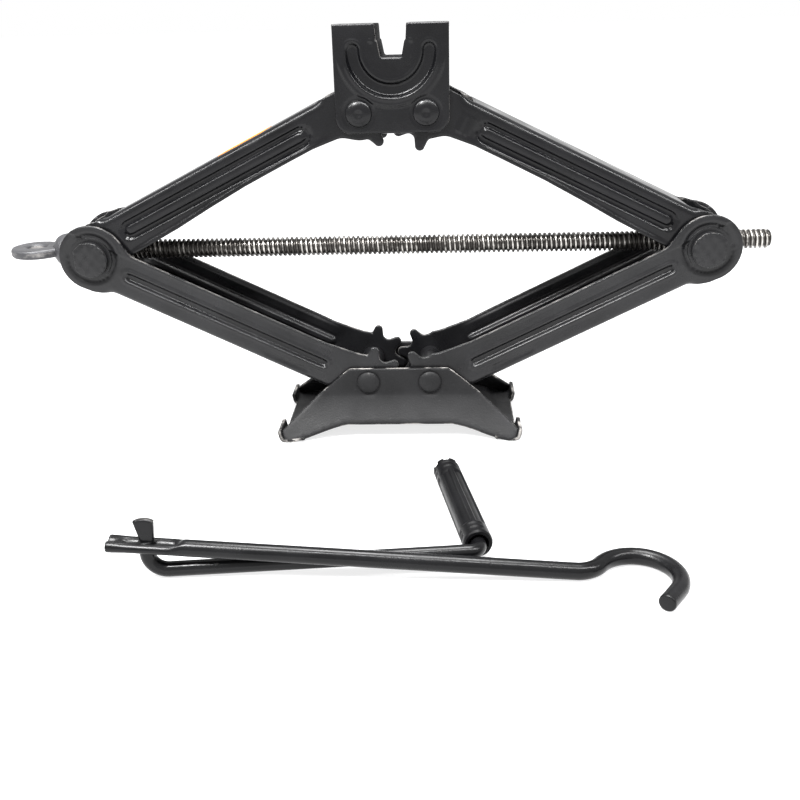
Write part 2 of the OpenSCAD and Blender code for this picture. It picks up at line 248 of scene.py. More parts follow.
def plate(field, box, thickness, place, relief=None, edge_r=0.6, grid=2.0, spacing=0.8, step=0.4, back=1.0):
    """Closed sheet of a given thickness over the region where field < 0, laid in space by place(u, v).

    relief(u, v) lifts the front, and back times as much the rear. edge_r rounds the rim.
    """
    outline, edges = [], []
    count = 0
    for loop in contours(field, box, step):
        loop = resample(loop, spacing)
        ids = list(range(count, count + len(loop)))
        edges += list(zip(ids, ids[1:] + ids[:1]))
        outline.append(loop)
        count += len(loop)
    outline = np.vstack(outline)
    inward = -gradient(field, outline)
    rings = []
    for share in (0.15, 0.45, 1.0):
        ring = outline + inward * edge_r * share
        good = field(ring[:, 0], ring[:, 1]) < -0.6 * edge_r * share
        rings.append(ring[good][:: 1 if share < 1 else 2])
    grid_u, grid_v = grid if isinstance(grid, tuple) else (grid, grid)
    us = np.arange(box[0] + 0.013, box[1], grid_u)
    vs = np.arange(box[2] + 0.017, box[3], grid_v)
    uu, vv = [a.ravel() for a in np.meshgrid(us, vs, indexing="ij")]
    keep = field(uu, vv) < -(edge_r + 0.45 * min(grid_u, grid_v))
    inner = np.column_stack([uu[keep], vv[keep]])
    coords = np.vstack([outline] + rings + [inner])
    verts, _, tris, _, _, _ = delaunay_2d_cdt([Vector(p) for p in coords], edges, [], 0, 1e-5)
    flat = np.array([tuple(p) for p in verts])
    tris = [tuple(t) for t in tris]
    middle = np.array([flat[list(t)].mean(axis=0) for t in tris])
    tris = [t for t, ok in zip(tris, inside_loops(middle, outline, edges)) if ok]
    edge_use = {}
    for a, b, c in tris:
        for e in ((a, b), (b, c), (c, a)):
            edge_use[tuple(sorted(e))] = edge_use.get(tuple(sorted(e)), []) + [e]
    rim = [uses[0] for uses in edge_use.values() if len(uses) == 1]
    rim_verts = {i for e in rim for i in e}
    depth = np.clip(-field(flat[:, 0], flat[:, 1]), 0, edge_r)
    depth[list(rim_verts)] = 0
    half = thickness / 2 - edge_r + np.sqrt(np.maximum(edge_r ** 2 - (edge_r - depth) ** 2, 0))
    lift = relief(flat[:, 0], flat[:, 1]) if relief else np.zeros(len(flat))
    pos, normal = place(flat[:, 0], flat[:, 1])
    top = pos + normal * (lift + half)[:, None]
    bottom = pos + normal * (lift * back - half)[:, None]
    n = len(flat)
    area = np.array([(flat[b][0] - flat[a][0]) * (flat[c][1] - flat[a][1])
                     - (flat[c][0] - flat[a][0]) * (flat[b][1] - flat[a][1]) for a, b, c in tris])
    tris = [t if s > 0 else t[::-1] for t, s in zip(tris, area)]
    faces = list(tris) + [tuple(i + n for i in t[::-1]) for t in tris]
    directed = {e for a, b, c in tris for e in ((a, b), (b, c), (c, a))}
    for a, b in rim:
        if (a, b) not in directed:
            a, b = b, a
        faces.append((b, a, a + n, b + n))
    near = 1 - np.clip(-field(flat[:, 0], flat[:, 1]) / 1.2, 0, 1)
    near[list(rim_verts)] = 1
    return np.vstack([top, bottom]), faces, np.concatenate([near, near])


def fix_normals(piece):
    work = bmesh.new()
    work.from_mesh(piece.data)
    bmesh.ops.recalc_face_normals(work, faces=work.faces)
    work.to_mesh(piece.data)
    work.free()


def lathe(profile, segments=64):
    """Closed solid of revolution about Z from (radius, height) pairs.

    The profile starts and ends on the axis, or is closed by a last band.
    """
    profile = np.asarray(profile, float)
    verts, faces = [], []
    rings = []
    for radius, height in profile:
        if radius < 1e-6:
            rings.append([len(verts)])
            verts.append((0, 0, height))
        else:
            ids = []
            for k in range(segments):
                angle = 2 * math.pi * k / segments
                ids.append(len(verts))
                verts.append((radius * math.cos(angle), radius * math.sin(angle), height))
            rings.append(ids)
    pairs = list(zip(rings, rings[1:]))
    if profile[0][0] > 1e-6 and profile[-1][0] > 1e-6:
        pairs.append((rings[-1], rings[0]))
    for low, high in pairs:
        for k in range(segments):
            a, b = low[k % len(low)], low[(k + 1) % len(low)]
            c, d = high[(k + 1) % len(high)], high[k % len(high)]
            face = [a, b, c, d]
            unique = [x for i, x in enumerate(face) if x not in face[:i]]
            if len(unique) > 2:
                faces.append(tuple(unique))
    return np.array(verts, float), faces


def moved(verts, matrix):
    verts = np.asarray(verts, float)
    m = np.array(matrix)
    return verts @ m[:3, :3].T + m[:3, 3]


def ring_faces(order, segments):
    """Quads between neighbouring rings, where ring n holds the vertices from n * segments on."""
    return [(low * segments + k, low * segments + (k + 1) % segments,
             high * segments + (k + 1) % segments, high * segments + k)
            for low, high in zip(order, order[1:]) for k in range(segments)]


def end_faces(rings, segments):
    return [tuple(range(segments))[::-1], tuple(range((rings - 1) * segments, rings * segments))]


def axis_frame(origin, z_dir, x_dir):
    z = Vector(z_dir).normalized()
    x = Vector(x_dir) - Vector(x_dir).dot(z) * z
    x.normalize()
    y = z.cross(x)
    m = Matrix((x, y, z)).transposed().to_4x4()
    m.translation = Vector(origin)
    return m


def arc_points(cx, cy, radius, start, end, count):
    angles = np.radians(np.linspace(start, end, count))
    return [(cx + radius * math.cos(a), cy + radius * math.sin(a)) for a in angles]


def tube(path, radius_at, segments=28, cap_r=0.8, up=(0, 0, 1)):
    """Closed tube along a path of points, with radius_at(share, angle) and rounded ends."""
    path = np.asarray(path, float)
    tangents = np.gradient(path, axis=0)
    tangents /= np.linalg.norm(tangents, axis=1)[:, None]
    lengths = np.concatenate([[0], np.cumsum(np.linalg.norm(np.diff(path, axis=0), axis=1))])
    share = lengths / lengths[-1]
    normal = np.cross(up, tangents[0])
    if np.linalg.norm(normal) < 1e-3:
        normal = np.cross((1, 0, 0), tangents[0])
    normal /= np.linalg.norm(normal)
    verts = []
    for i, (point, tangent) in enumerate(zip(path, tangents)):
        normal = normal - tangent * np.dot(normal, tangent)
        normal /= np.linalg.norm(normal)
        binormal = np.cross(tangent, normal)
        for k in range(segments):
            angle = 2 * math.pi * k / segments
            r = radius_at(share[i], angle)
            r -= cap_r * (1 - math.sqrt(max(0, 1 - max(0, 1 - lengths[i] / cap_r) ** 2)))
            r -= cap_r * (1 - math.sqrt(max(0, 1 - max(0, 1 - (lengths[-1] - lengths[i]) / cap_r) ** 2)))
            verts.append(point + r * (math.cos(angle) * normal + math.sin(angle) * binormal))
    return np.array(verts), ring_faces(range(len(path)), segments) + end_faces(len(path), segments)


def with_ends(path, cap_r=0.8):
    """Adds the closely spaced points that a rounded end needs."""
    path = [np.asarray(p, float) for p in path]
    start_dir = (path[1] - path[0]) / np.linalg.norm(path[1] - path[0])
    end_dir = (path[-2] - path[-1]) / np.linalg.norm(path[-2] - path[-1])
    marks = [cap_r * s for s in (0.1, 0.3, 0.6, 1.0)]
    head = [path[0] + start_dir * m for m in marks]
    tail = [path[-1] + end_dir * m for m in reversed(marks)]
    return [path[0]] + head + path[1:-1] + tail + [path[-1]]


# ------------------------------------------------------------------ materials
DUST_COLOUR = (0.16, 0.16, 0.165)


def material(name, base, rough, metallic=0.0, wear=0.0, bare=(0.42, 0.40, 0.38), dust=0.35, bump=0.12,
             scale=900.0, variation=0.35, specular=0.5):
    """Paint or metal with a clouded colour, dust specks, edges worn to the bare colour and a grain."""
    mat = bpy.data.materials.new(name)
    mat.use_nodes = True
    nodes, links = mat.node_tree.nodes, mat.node_tree.links
    shader = nodes["Principled BSDF"]
    shader.inputs["Metallic"].default_value = metallic
    shader.inputs["Specular IOR Level"].default_value = specular
    coords = nodes.new("ShaderNodeTexCoord")

    def noise(size, detail, rough_value=0.55):
        node = nodes.new("ShaderNodeTexNoise")
        node.inputs["Scale"].default_value = size
        node.inputs["Detail"].default_value = detail
        node.inputs["Roughness"].default_value = rough_value
        links.new(coords.outputs["Object"], node.inputs["Vector"])
        return node

    def ramp(source, stops):
        node = nodes.new("ShaderNodeValToRGB")
        elements = node.color_ramp.elements
        while len(elements) < len(stops):
            elements.new(0.5)
        for element, (position, value) in zip(elements, stops):
            element.position = position
            colour = value if isinstance(value, tuple) else (value,) * 3
            element.color = (*colour, 1)
        links.new(source, node.inputs["Fac"])
        return node

    def over(mask, top, under):
        node = nodes.new("ShaderNodeMixRGB")
        node.inputs["Color2"].default_value = (*top, 1)
        links.new(mask.outputs["Color"], node.inputs["Fac"])
        links.new(under, node.inputs["Color1"])
        return node.outputs["Color"]

    cloud = noise(38.0, 6.0)
    low = tuple(c * (1 - variation) for c in base)
    high = tuple(min(1.0, c * (1 + variation) + 0.0008) for c in base)
    colour = ramp(cloud.outputs["Fac"], [(0.3, low), (0.7, high)]).outputs["Color"]
    grain = noise(scale, 3.0, 0.6)
    if dust > 0:
        speck = noise(420.0, 5.0, 0.7)
        mask = ramp(speck.outputs["Fac"], [(0.62, 0.0), (0.76, dust)])
        colour = over(mask, DUST_COLOUR, colour)
    if wear > 0:
        attribute = nodes.new("ShaderNodeAttribute")
        attribute.attribute_name = "wear"
        rubbed = noise(75.0, 8.0, 0.7)
        product = nodes.new("ShaderNodeMath")
        product.operation = "MULTIPLY"
        links.new(attribute.outputs["Fac"], product.inputs[0])
        links.new(rubbed.outputs["Fac"], product.inputs[1])
        mask = ramp(product.outputs["Value"], [(0.46, 0.0), (0.60, wear)])
        colour = over(mask, bare, colour)
    links.new(colour, shader.inputs["Base Color"])
    patchy = noise(55.0, 5.0)
    rough_ramp = ramp(patchy.outputs["Fac"], [(0.3, max(0.05, rough - 0.09)), (0.72, min(1.0, rough + 0.12))])
    links.new(rough_ramp.outputs["Color"], shader.inputs["Roughness"])
    bump_node = nodes.new("ShaderNodeBump")
    bump_node.inputs["Strength"].default_value = bump
    bump_node.inputs["Distance"].default_value = 0.0004
    links.new(grain.outputs["Fac"], bump_node.inputs["Height"])
    links.new(bump_node.outputs["Normal"], shader.inputs["Normal"])
    return mat


PAINT = material("black_paint", (0.0025, 0.0025, 0.003), 0.23, wear=0.25, dust=0.03, specular=0.24, bump=0.10)
PAINT_MATT = material("black_paint_matt", (0.006, 0.006, 0.0065), 0.6, dust=0.03, specular=0.02, bump=0.12)
PAINT_LOWER = material("black_paint_lower", (0.005, 0.005, 0.0056), 0.32, wear=0.3, dust=0.05,
                       specular=0.33, bump=0.15)
PAINT_BASE = material("black_paint_base", (0.007, 0.007, 0.0075), 0.5, wear=0.7, dust=0.1,
                      specular=0.2, bump=0.25)
FORGED = material("forged_black", (0.035, 0.035, 0.038), 0.42, metallic=0.2, wear=0.4, bump=0.5, scale=500)
SCREW = material("blackened_thread", (0.055, 0.051, 0.047), 0.32, metallic=0.8, dust=0.25, wear=0.9,
                 bare=(0.55, 0.53, 0.5), bump=0.25, scale=700)
STEEL = material("plain_steel", (0.4, 0.4, 0.4), 0.35, metallic=1.0, dust=0.1)
LABEL = material("blank_label_film", (0.78, 0.2, 0.008), 0.4, dust=0.0, variation=0.12, bump=0.05)
HANDLE = material("handle_paint", (0.003, 0.003, 0.0034), 0.24, wear=0.2, dust=0.04, specular=0.2, bump=0.12)
PLASTIC = material("grip_plastic", (0.002, 0.002, 0.0024), 0.36, dust=0.03, specular=0.12,
                   bump=0.15, scale=1400)


def finish_piece(piece, mat, body, slot, *replaced):
    fix_normals(piece)
    piece.data.materials.clear()
    piece.data.materials.append(mat)
    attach(piece, body)
    if replaced:
        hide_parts(*replaced)


# ------------------------------------------------------------------ arms
def tooth_field(u, v, angle):
    a = math.radians(angle)
    x = u * math.cos(a) + v * math.sin(a)
    y = -u * math.sin(a) + v * math.cos(a)
    tip = TIP_R - TOOTH_TIP_R
    body = polygon_field(x, y, [(ROOT_R - 4, -4.2), (ROOT_R, -4.1), (tip, -2.95),
                                (tip, 2.95), (ROOT_R, 4.1), (ROOT_R - 4, 4.2)])
    return np.minimum(body, disc(x, y, tip, 0, TOOTH_TIP_R))


class ArmShape:
    """One pressed channel: its developed outline, its relief and how it folds."""

    def __init__(self, teeth, half, end_r, web_off, edge_off, edge_low, upper):
        self.teeth, self.half, self.end_r = teeth, half, end_r
        self.web_off, self.edge_off, self.edge_low, self.upper = web_off, edge_off, edge_low, upper
        self.bend_r = 3.0
        self.web_low, self.web_high = 23.0, ARM_LEN - 17.0
        self.mid_half = half - SHEET / 2
        self.s_web = self.mid_half - self.bend_r
        self.s_bend = self.s_web + math.pi / 2 * self.bend_r
        self.v_bend = -web_off + SHEET / 2 + self.bend_r

    def wall(self, u, v):
        d = disc(u, v, 0, 0, ROOT_R)
        taper = [(x, float(self.edge(x))) for x in (165, 130, 106, 80, 50, 34)]
        body = polygon_field(u, v, [(6, -self.web_off), (ARM_LEN - 8, -self.web_off - 1.2),
                                    (ARM_LEN - 6, self.edge_off + 3.5)] + taper + [(9, self.edge_low + 2.5)])
        d = blend_union(d, body, 5)
        d = blend_union(d, disc(u, v, ARM_LEN, 0, self.end_r), 7)
        for angle in self.teeth:
            d = blend_union(d, tooth_field(u, v, 180 - angle - math.degrees(REST_ANGLE)), 1.6)
        d = np.maximum(d, -disc(u, v, 0, 0, PIN_R + 0.1))
        return np.maximum(d, -disc(u, v, ARM_LEN, 0, TRUNNION_R + 0.15))

    def fold(self, u):
        near_teeth = smooth(self.web_low - 11, self.web_low - 2, u)
        return near_teeth * smooth(self.web_high + 6, self.web_high - 4, u)

    def field(self, u, s):
        v = self.v_bend + np.abs(s) - self.s_bend
        folded = slab(u, np.abs(s), self.web_low, self.web_high - 5, -99, self.s_bend + 1.0, 4.0)
        return blend_union(self.wall(u, v), folded, 2.5)

    def place(self, u, s):
        side = np.sign(s) + (s == 0)
        inward = np.maximum(self.s_bend - np.abs(s), 0)
        above = np.maximum(np.abs(s) - self.s_bend, 0)
        arc = self.s_bend - self.s_web
        full = np.maximum(self.fold(u), 0.002) * math.pi / 2
        angle = np.minimum(inward / arc, 1) * full
        past = np.maximum(inward - arc, 0)
        y = self.mid_half - arc / full * (1 - np.cos(angle)) - past * np.sin(full)
        v = self.v_bend + above - arc / full * np.sin(angle) - past * np.cos(full)
        pos = np.column_stack([u, side * y, v])
        return pos, np.column_stack([np.zeros_like(u), side * np.cos(angle), -np.sin(angle)])

    def edge(self, u):
        share = np.interp(u, (50, 80, 106, 130, 165), (0, 0.08, 0.42, 0.85, 1.15))
        return self.edge_low + (self.edge_off - self.edge_low) * share

    def relief(self, u, s):
        v = self.v_bend + np.abs(s) - self.s_bend
        if self.upper:
            core = capsule(u, v, 37, -4.0, ARM_LEN - 30, -4.0, 0.0)
            ring = smooth(6.3, 5.2, core) * smooth(2.2, 3.3, core)
            lift = -1.7 * ring + 0.8 * np.sqrt(np.clip(1 - (core / 3.0) ** 2, 0, 1))
            edge = smooth(3.4, 1.2, self.edge(u) - v) * smooth(20, 44, u)
            lift = lift + edge * smooth(ARM_LEN - 18, ARM_LEN - 34, u)
            for k in range(3 * (self.teeth == TEETH_EVEN)):
                rib = capsule(u, v, 20.5 + 2.9 * k, -8, 20.5 + 2.9 * k, 2, 0.0)
                lift = lift + 0.4 * smooth(1.2, 0.3, rib)
        else:
            core = capsule(u, v, 31, -1.6, ARM_LEN - 25, -1.6, 0.0)
            lift = -2.3 * smooth(2.9, 1.3, core) + 0.6 * smooth(1.8, 0.3, np.abs(core - 3.9))
            short = capsule(u, v, 40, -10.4, 66, -10.4, 0.0)
            lift = lift - 0.9 * smooth(2.2, 0.9, short)
            lift = lift + 0.9 * smooth(3.0, 1.4, self.edge(u) - v) * smooth(24, 48, u)
        around = np.hypot(u - ARM_LEN, v)
        step = smooth(15.6, 14.4, around) * smooth(12.2, 13.0, around)
        from_rim = self.end_r - around
        rolled = smooth(1.0, 2.4, from_rim) * smooth(5.0, 3.0, from_rim)
        return lift - 0.8 * step + 0.4 * rolled


def arm_piece(name, body, shape, mirror_x, pivot_z):
    box = (-24, ARM_LEN + 23, -66, 66)
    verts, faces, wear = plate(shape.field, box, SHEET, shape.place, shape.relief,
                               edge_r=0.7, grid=(1.8, 0.62))
    c, s = math.cos(REST_ANGLE), math.sin(REST_ANGLE)
    x = c * verts[:, 0] - s * verts[:, 2]
    z = s * verts[:, 0] + c * verts[:, 2]
    if shape.upper:
        z = -z
    x = x + PIVOT_X
    if mirror_x:
        x = -x
    piece = new_mesh(name, np.column_stack([x, verts[:, 1], z + pivot_z]), faces, wear, 65)
    finish_piece(piece, PAINT if shape.upper else PAINT_LOWER, body, "painted", name.replace("pressed_", ""))


LOWER_EVEN = ArmShape(TEETH_EVEN, LOWER_HALF, LOWER_END_R, LOWER_WEB, LOWER_EDGE, LOWER_EDGE, False)
LOWER_ODD = ArmShape(TEETH_ODD, LOWER_HALF, LOWER_END_R, LOWER_WEB, LOWER_EDGE, LOWER_EDGE, False)
UPPER_EVEN = ArmShape(TEETH_EVEN, UPPER_HALF, UPPER_END_R, UPPER_WEB, UPPER_EDGE, UPPER_EDGE_LOW, True)
UPPER_ODD = ArmShape(TEETH_ODD, UPPER_HALF, UPPER_END_R, UPPER_WEB, UPPER_EDGE, UPPER_EDGE_LOW, True)
arm_piece("pressed_lower_arm_left", "lower_left", LOWER_EVEN, True, BASE_Z)
arm_piece("pressed_lower_arm_right", "lower_right", LOWER_ODD, False, BASE_Z)
arm_piece("pressed_upper_arm_left", "upper_left", UPPER_ODD, True, SADDLE_Z)
arm_piece("pressed_upper_arm_right", "upper_right", UPPER_EVEN, False, SADDLE_Z)


# ------------------------------------------------------------------ saddle
SADDLE_X = 33.0
SADDLE_TOP = 48.5
SADDLE_DROP = 11.4
SADDLE_SHEET = 3.0
GROOVE_R = 21.7
GROOVE_V = 34.4
PIMPLE_X = 11.4
PIMPLE_V = 39.4


def notch_field(u, v):
    a = np.abs(u)
    upper = polygon_field(a, v, [(-1, 39.6), (8.4, 39.6), (9.0, 48.0), (10.6, 50.5), (10.6, 61), (-1, 61)])
    lower = polygon_field(a, v, [(-1, 31.6), (4.8, 31.6), (6.6, 40.6), (-1, 40.6)]) - 1.4
    return blend_union(upper, lower, 0.8)


def saddle_field(u, v):
    d = slab(u, v, -SADDLE_X, SADDLE_X, -SADDLE_DROP, SADDLE_TOP + 30, 9.0)
    d = np.maximum(d, v - SADDLE_TOP)
    d = np.maximum(d, -notch_field(u, v))
    for side in (-1, 1):
        d = np.maximum(d, -disc(u, v, side * PIVOT_X, 0, PIN_R))
    return d


def saddle_relief(u, v):
    low = v < GROOVE_V
    radius = np.hypot(u, v - GROOVE_V)
    ends = np.minimum(np.hypot(u - GROOVE_R, v - GROOVE_V), np.hypot(u + GROOVE_R, v - GROOVE_V))
    groove = np.where(low, np.abs(radius - GROOVE_R), ends)
    lift = -1.7 * smooth(4.4, 2.2, groove) + 0.45 * smooth(1.6, 0.2, np.abs(groove - 5.2))
    band = smooth(31.8, 30.2, radius) * smooth(25.0, 26.6, radius) * smooth(GROOVE_V + 2, GROOVE_V - 10, v)
    lift = lift + 1.15 * band
    for side in (-1, 1):
        spot = np.hypot(u - side * PIVOT_X, v)
        lift = lift * smooth(8.6, 10.2, spot) - 0.35 * smooth(10.0, 8.8, spot)
        pimple = np.hypot(u - side * PIMPLE_X, v - PIMPLE_V)
        lift = lift + 0.5 * smooth(1.8, 0.5, pimple)
    return lift


def wall_place(half, height, side):
    def place(u, v):
        pos = np.column_stack([u, np.full_like(u, side * half), v + height])
        return pos, np.column_stack([np.zeros_like(u), np.full_like(u, side), np.zeros_like(u)])
    return place


def saddle_web_field(u, v):
    top = np.maximum(v - SADDLE_TOP, -notch_field(u, v))
    d = np.maximum(top, -(top + SADDLE_SHEET))
    return np.maximum(np.maximum(d, np.abs(u) - SADDLE_X + 0.05), 24 - v)


def saddle_piece():
    parts, web = Parts(), Parts()
    box = (-SADDLE_X - 2, SADDLE_X + 2, -SADDLE_DROP - 2, SADDLE_TOP + 2)
    for side in (-1, 1):
        place = wall_place(SADDLE_HALF - SADDLE_SHEET / 2, SADDLE_Z, side)
        parts.add(*plate(saddle_field, box, SADDLE_SHEET, place, saddle_relief, edge_r=1.1,
                         grid=0.7, spacing=0.6, step=0.3, back=0.12))
    inner = SADDLE_HALF - SADDLE_SHEET + 0.6
    web.add(*plate(saddle_web_field, box, 2 * inner, wall_place(0.0, SADDLE_Z, 1), edge_r=0.12,
                   grid=2.0, spacing=0.6, step=0.3))
    finish_piece(parts.build("pressed_saddle", 65), PAINT, "saddle", "painted", "saddle")
    finish_piece(web.build("saddle_top_web"), PAINT_MATT, "saddle", "painted")


# ------------------------------------------------------------------ base
BASE_FOOT_Y = 46.0
BASE_H = 43.7
BASE_SHEET = 3.0
SOLE_Z = 9.3
SOLE_SHEET = 2.5
FLARE_Z = 27.0
FLARE_OUT = BASE_FOOT_Y - BASE_HALF - 0.7
LIP_BEND_X = 72.6
LIP_BEND_R = 2.8
LIP_TURN = math.radians(78)


def flare(z):
    t = np.clip((FLARE_Z - z) / FLARE_Z, 0, 1)
    return FLARE_OUT * t ** 1.25


def flare_slope(z):
    t = np.clip((FLARE_Z - z) / FLARE_Z, 1e-6, 1)
    return -FLARE_OUT * 1.25 * t ** 0.25 / FLARE_Z * (z < FLARE_Z)


def sole_height(x):
    fall = np.clip((np.abs(x) - 33) / 37, 0, 1)
    return SOLE_Z * (1 - 0.5 * fall - 0.5 * smooth(0, 1, fall))


def base_wall_field(u, v):
    a = np.abs(u)
    trapezoid = polygon_field(a, v, [(-9, 41.7), (30.4, 41.7), (33.4, 39.6), (73.0, 5.4),
                                     (72.6, 3.8), (71.2, 2.6), (69.0, 2.0), (-9, 2.0)]) - 2.0
    d = np.maximum(trapezoid, (sole_height(u) - v) * 0.92)
    for side in (-1, 1):
        d = np.maximum(d, -disc(u, v, side * PIVOT_X, BASE_Z, PIN_R))
    return d


def base_wall_place(side):
    def place(u, v):
        slope = flare_slope(v)
        length = np.hypot(1, slope)
        pos = np.column_stack([u, side * (BASE_HALF - BASE_SHEET / 2 + flare(v)), v])
        return pos, np.column_stack([np.zeros_like(u), side / length, -slope / length])
    return place


def base_wall_relief(u, v):
    lift = np.zeros_like(u)
    for side in (-1, 1):
        spot = np.hypot(u - side * PIVOT_X, v - BASE_Z)
        lift = lift - 0.45 * smooth(9.0, 8.0, spot)
    return lift


def sole_field(u, v):
    a, b = np.abs(u), np.abs(v)
    reach = BASE_HALF - BASE_SHEET + 0.5 + flare(sole_height(u) + SOLE_SHEET)
    body = np.maximum(a - 74.2, b - reach)
    lip = slab(a, b, 60, 80.6, 21.5, 44.0, 1.2)
    scallop = capsule(a, b, 78, 19.6, 78, -2, 2.0)
    return np.maximum(np.minimum(body, lip), -scallop)


def sole_place(u, v):
    a, side = np.abs(u), np.sign(u) + (u == 0)
    turn = np.clip((a - LIP_BEND_X) / LIP_BEND_R, 0, LIP_TURN)
    past = np.maximum(a - LIP_BEND_X - LIP_BEND_R * LIP_TURN, 0)
    flat = np.minimum(a, LIP_BEND_X)
    x = flat + LIP_BEND_R * np.sin(turn) + past * math.cos(LIP_TURN)
    z = sole_height(u) + SOLE_SHEET / 2 + LIP_BEND_R * (1 - np.cos(turn)) + past * math.sin(LIP_TURN)
    slope = (sole_height(u + 0.1) - sole_height(u - 0.1)) / 0.2
    length = np.hypot(1, slope)
    nx = np.where(turn > 0, -side * np.sin(turn), -slope / length)
    nz = np.where(turn > 0, np.cos(turn), 1 / length)
    return np.column_stack([side * x, v, z]), np.column_stack([nx, np.zeros_like(u), nz])


def sole_relief(u, v):
    a = np.abs(u)
    return 1.1 * smooth(60.5, 58.5, a) * smooth(40, 36, np.abs(v)) - 0.4 * smooth(1.4, 0.3, np.abs(a - 61.5))


def base_piece():
    parts = Parts()
    box = (-78, 78, -2, BASE_H + 2)
    for side in (-1, 1):
        parts.add(*plate(base_wall_field, box, BASE_SHEET, base_wall_place(side), base_wall_relief,
                         edge_r=1.1, grid=1.8))
    parts.add(*plate(sole_field, (-83, 83, -50, 50), SOLE_SHEET, sole_place, sole_relief,
                     edge_r=0.7, grid=1.8))
    finish_piece(parts.build("pressed_base", 65), PAINT_BASE, "base", "painted", "base_plate")


# ------------------------------------------------------------------ rivets and trunnion faces
def rivet_profile(half, head_r, head_h, dimple):
    dome = [(head_r * math.sin(a), head_h * (math.cos(a) ** 1.2)) for a in np.radians(np.linspace(90, 0, 14))]
    if dimple:
        dome = [(r, min(h, head_h * 0.82) - 0.55 * math.exp(-(r / 1.5) ** 2)
                 + 0.25 * math.exp(-((r - 2.6) / 0.8) ** 2)) for r, h in dome]
    dome[-1] = (0.0, dome[-1][1])
    upper = [(PIN_R, half), (head_r - 0.25, half), (head_r, half + 0.2)]
    upper += [(r, half + 0.2 + h) for r, h in dome[1:]]
    lower = [(r, -h) for r, h in upper[::-1]]
    return lower + upper


def rivets():
    plans = (("base_pin", "base", BASE_Z, BASE_HALF, 7.2, 2.5, False),
             ("saddle_pin", "saddle", SADDLE_Z, SADDLE_HALF - 0.4, 7.7, 2.9, True))
    for name, body, height, half, head_r, head_h, dimple in plans:
        for side, word in ((-1, "left"), (1, "right")):
            verts, faces = lathe(rivet_profile(half, head_r, head_h, dimple), 56)
            place = axis_frame((side * PIVOT_X, 0, height), (0, -1, 0), (1, 0, 0))
            wear = np.where(np.hypot(verts[:, 0], verts[:, 1]) > head_r - 1.0, 0.75, 0.35)
            piece = new_mesh("rivet_%s_%s" % (name, word), moved(verts, place), faces, wear)
            paint = PAINT if body == "saddle" else PAINT_BASE
            finish_piece(piece, paint, body, "painted", "%s_%s" % (name, word))


def peened_face(u, v):
    angle = np.arctan2(v, u)
    d = np.hypot(u, v) - TRUNNION_R + 0.35 + 0.16 * np.sin(9 * angle) + 0.12 * np.sin(14 * angle + 1)
    return np.maximum(d, u - TRUNNION_R + TRUNNION_FLAT)


def trunnion_faces():
    for side_x, word in ((-1, "left"), (1, "right")):
        parts = Parts()
        for side_y in (-1, 1):
            def place(u, v, side_x=side_x, side_y=side_y):
                y = np.full_like(u, side_y * (LOWER_HALF + TRUNNION_OUT))
                pos = np.column_stack([side_x * (HALF_SPAN + u), y, TRUNNION_Z + v])
                return pos, np.column_stack([np.zeros_like(u), np.full_like(u, side_y), np.zeros_like(u)])

            def relief(u, v):
                r, angle = np.hypot(u, v), np.arctan2(v, u)
                marks = smooth(8.0, 9.8, r) * (0.5 + 0.5 * np.sin(17 * angle + 2 * np.sin(3 * angle)))
                return -0.35 * marks + 0.12 * np.sin(u * 0.9) * np.cos(v * 0.7)
            parts.add(*plate(peened_face, (-12, 12, -12, 12), 1.4, place, relief, edge_r=0.5, grid=0.7,
                             spacing=0.4, step=0.2))
        piece = parts.build("trunnion_face_" + word)
        finish_piece(piece, PAINT_LOWER, "trunnion_" + word, "trunnion_paint")


# ------------------------------------------------------------------ screw, eye and collar
def thread_radius(phase):
    phase = phase % 1.0
    rise = smooth(0.12, 0.34, phase) * smooth(0.88, 0.66, phase)
    return SCREW_R - THREAD_DEPTH + THREAD_DEPTH * rise


def lead_screw():
    segments, per_pitch = 40, 9
    start, end = -HALF_SPAN - SCREW_BACK, HALF_SPAN + SCREW_TIP
    thread_from = -HALF_SPAN + THREAD_FROM
    xs = np.concatenate([np.linspace(start, thread_from, 12)[:-1],
                         np.arange(thread_from, end - 0.05, THREAD_PITCH / per_pitch), [end]])
    angles = 2 * np.pi * np.arange(segments) / segments
    xx, aa = np.meshgrid(xs, angles, indexing="ij")
    radius = thread_radius(xx / THREAD_PITCH - aa / (2 * np.pi))
    plain = smooth(thread_from + 2.5, thread_from - 0.5, xx)
    radius = radius * (1 - plain) + SHANK_R * plain
    tip = np.clip((end - xx) / 3.0, 0, 1)
    radius = np.minimum(radius, SCREW_TIP_R + (SCREW_R - SCREW_TIP_R) * np.sqrt(1 - (1 - tip) ** 2))
    across, height = radius * np.cos(aa), TRUNNION_Z + radius * np.sin(aa)
    verts = np.column_stack([xx.ravel(), across.ravel(), height.ravel()])
    faces = ring_faces(range(len(xs)), segments) + end_faces(len(xs), segments)
    wear = np.clip((radius.ravel() - 5.5) / 0.5, 0, 1)
    piece = new_mesh("threaded_screw", verts, faces, wear, 60)
    finish_piece(piece, SCREW, "screw", "screw_steel", "lead_screw")


def eye_field(u, v):
    d = disc(u, v, EYE_AT, 0, EYE_R)
    neck = polygon_field(u, v, [(25, -6.4), (34, -9.4), (40, -9.4), (40, 9.4), (34, 9.4), (25, 6.4)])
    return np.maximum(blend_union(d, neck, 4), -disc(u, v, EYE_AT, 0, EYE_HOLE_R))


